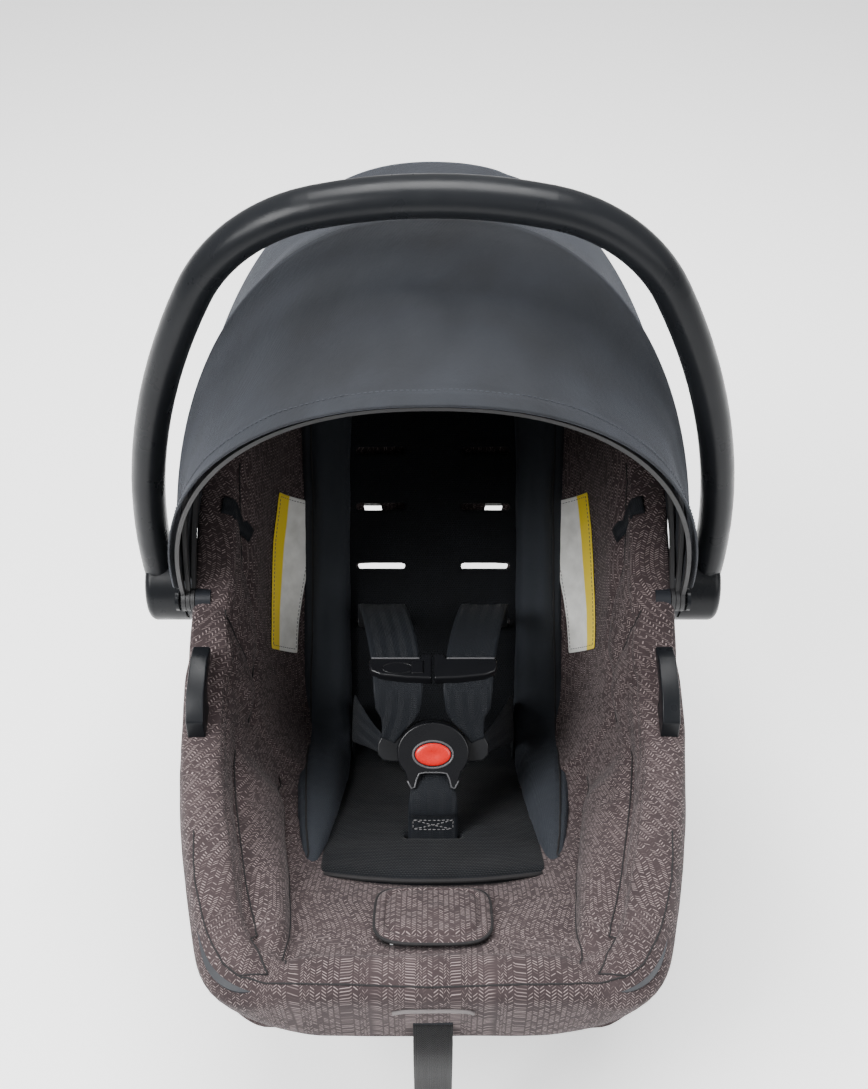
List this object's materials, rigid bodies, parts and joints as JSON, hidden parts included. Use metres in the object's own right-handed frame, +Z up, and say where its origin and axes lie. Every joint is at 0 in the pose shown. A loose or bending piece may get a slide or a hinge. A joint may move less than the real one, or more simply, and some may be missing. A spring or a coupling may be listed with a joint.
{
  "type": "infant car seat",
  "caption": "Rear-facing infant carrier with a padded bucket, a swinging carry handle, a folding canopy, a five-point harness and side belt guides.",
  "frame": {"origin": "on the floor, under the middle of the carrier's length and width", "axes": "+Z up, +Y towards the head end, -Y towards the foot end, +X across the seat"},
  "size_m": [0.4676, 0.629, 0.6089],
  "materials": {
    "shell_plastic": "fine moulded grain, dark blue-grey",
    "handle_plastic": "satin black moulded plastic",
    "inner_plastic": "plain black nylon",
    "buckle_plastic": "satin black moulded plastic",
    "red_button": "smooth red",
    "steel": "zinc plated",
    "canopy_cloth": "charcoal stretch twill, slightly faded",
    "foam": "moulded white bead foam",
    "seat_cover": "brown melange herringbone knit over thin padding",
    "insert_knit": "black spacer knit over wadding",
    "label": "plain printed satin tape with a yellow band",
    "webbing": "black ribbed polyester webbing"
  },
  "bodies": {
    "root": {"shell": "shell_plastic", "belt_guide_left": "shell_plastic", "belt_guide_right": "shell_plastic", "canopy_pivot_left": "handle_plastic", "canopy_pivot_right": "handle_plastic", "adjuster_housing": "inner_plastic", "chest_clip_left": "buckle_plastic", "chest_clip_right": "buckle_plastic", "buckle_front": "buckle_plastic", "buckle_back": "buckle_plastic", "latch_bar_front": "steel", "latch_bar_rear": "steel", "axle_pin_left": "steel", "axle_pin_right": "steel", "lock_spring_left": "steel", "lock_spring_right": "steel", "buckle_spring": "steel", "adjuster_spring": "steel", "release_spring": "steel", "release_pin": "steel", "buckle_tongue_left": "steel", "buckle_tongue_right": "steel", "crotch_anchor": "steel", "hip_anchor_left": "steel", "hip_anchor_right": "steel", "splitter_plate": "steel", "foam_liner": "foam", "seat_pad_back": "seat_cover", "seat_pad_leg": "seat_cover", "seat_cover_skirt": "seat_cover", "insert_seat": "insert_knit", "insert_back": "insert_knit", "insert_bolster_left": "insert_knit", "insert_bolster_right": "insert_knit", "care_label_left": "label", "care_label_right": "label", "pad_loops": "webbing", "shoulder_strap_left": "webbing", "shoulder_strap_right": "webbing", "lap_strap_left": "webbing", "lap_strap_right": "webbing", "crotch_strap": "webbing", "adjuster_strap": "webbing", "adjuster_tail": "webbing"},
    "handle": {"carry_handle": "handle_plastic"},
    "handle_button_left": {"handle_button_left": "handle_plastic"},
    "handle_button_right": {"handle_button_right": "handle_plastic"},
    "lock_left": {"lock_star_left": "inner_plastic"},
    "lock_right": {"lock_star_right": "inner_plastic"},
    "canopy_rear": {"canopy_bow_rear": "inner_plastic", "canopy_cloth_rear": "canopy_cloth"},
    "canopy_mid": {"canopy_bow_mid": "inner_plastic", "canopy_cloth_mid": "canopy_cloth"},
    "canopy_front": {"canopy_bow_front": "inner_plastic", "canopy_cloth_front": "canopy_cloth"},
    "buckle_button": {"buckle_button": "red_button"},
    "chest_clip_tab": {"chest_clip_tab": "buckle_plastic"},
    "adjuster_button": {"adjuster_button": "inner_plastic"},
    "adjuster_flap": {"adjuster_flap": "seat_cover"},
    "release_lever": {"release_lever": "shell_plastic"}
  },
  "joints": [
    {"name": "handle_turn", "type": "hinge", "parent": "root", "child": "handle", "pos_m": [0, 0.05, 0.25], "axis": [1, 0, 0], "range_deg": [-120, 80]},
    {"name": "handle_button_left_press", "type": "slide", "parent": "handle", "child": "handle_button_left", "axis": [-1, 0, 0], "range_m": [0, 0.004], "stiffness_N_per_m": 600},
    {"name": "handle_button_right_press", "type": "slide", "parent": "handle", "child": "handle_button_right", "axis": [1, 0, 0], "range_m": [0, 0.004], "stiffness_N_per_m": 600},
    {"name": "lock_left_slide", "type": "slide", "parent": "root", "child": "lock_left", "axis": [-1, 0, 0], "range_m": [0, 0.004], "deforming": ["lock_spring_left"]},
    {"name": "lock_right_slide", "type": "slide", "parent": "root", "child": "lock_right", "axis": [1, 0, 0], "range_m": [0, 0.004], "deforming": ["lock_spring_right"]},
    {"name": "canopy_fold", "type": "hinge", "parent": "root", "child": "canopy_rear", "pos_m": [0, -0.005, 0.285], "axis": [1, 0, 0], "range_deg": [-22, 0], "deforming": ["canopy_cloth_rear"]},
    {"name": "canopy_mid_turn", "type": "hinge", "parent": "canopy_rear", "child": "canopy_mid", "pos_m": [0, -0.005, 0.285], "axis": [1, 0, 0], "range_deg": [-16, 0], "deforming": ["canopy_cloth_mid"]},
    {"name": "canopy_front_turn", "type": "hinge", "parent": "canopy_mid", "child": "canopy_front", "pos_m": [0, -0.005, 0.285], "axis": [1, 0, 0], "range_deg": [-17, 0], "deforming": ["canopy_cloth_front"]},
    {"name": "buckle_button_press", "type": "slide", "parent": "root", "child": "buckle_button", "axis": [0, 0.7547, -0.6561], "range_m": [0, 0.004], "stiffness_N_per_m": 900, "deforming": ["buckle_spring"]},
    {"name": "chest_clip_tab_press", "type": "slide", "parent": "root", "child": "chest_clip_tab", "axis": [0, 0.1045, -0.9945], "range_m": [0, 0.001], "stiffness_N_per_m": 900},
    {"name": "adjuster_button_press", "type": "slide", "parent": "root", "child": "adjuster_button", "axis": [0, 0, -1], "range_m": [0, 0.006], "stiffness_N_per_m": 500, "deforming": ["adjuster_spring"]},
    {"name": "adjuster_flap_lift", "type": "hinge", "parent": "root", "child": "adjuster_flap", "pos_m": [0, -0.201, 0.1855], "axis": [-1, 0, 0], "range_deg": [0, 70]},
    {"name": "release_lever_squeeze", "type": "hinge", "parent": "root", "child": "release_lever", "pos_m": [0, 0.232, 0.222], "axis": [1, 0, 0], "range_deg": [0, 12], "stiffness_Nm_per_rad": 3, "deforming": ["release_spring"]}
  ],
  "couplings": [
    {"joint": "lock_left_slide", "follows": "handle_button_left_press", "ratio": 1},
    {"joint": "lock_right_slide", "follows": "handle_button_right_press", "ratio": 1},
    {"joint": "canopy_mid_turn", "follows": "canopy_fold", "ratio": 0.7273},
    {"joint": "canopy_front_turn", "follows": "canopy_fold", "ratio": 0.7727}
  ]
}
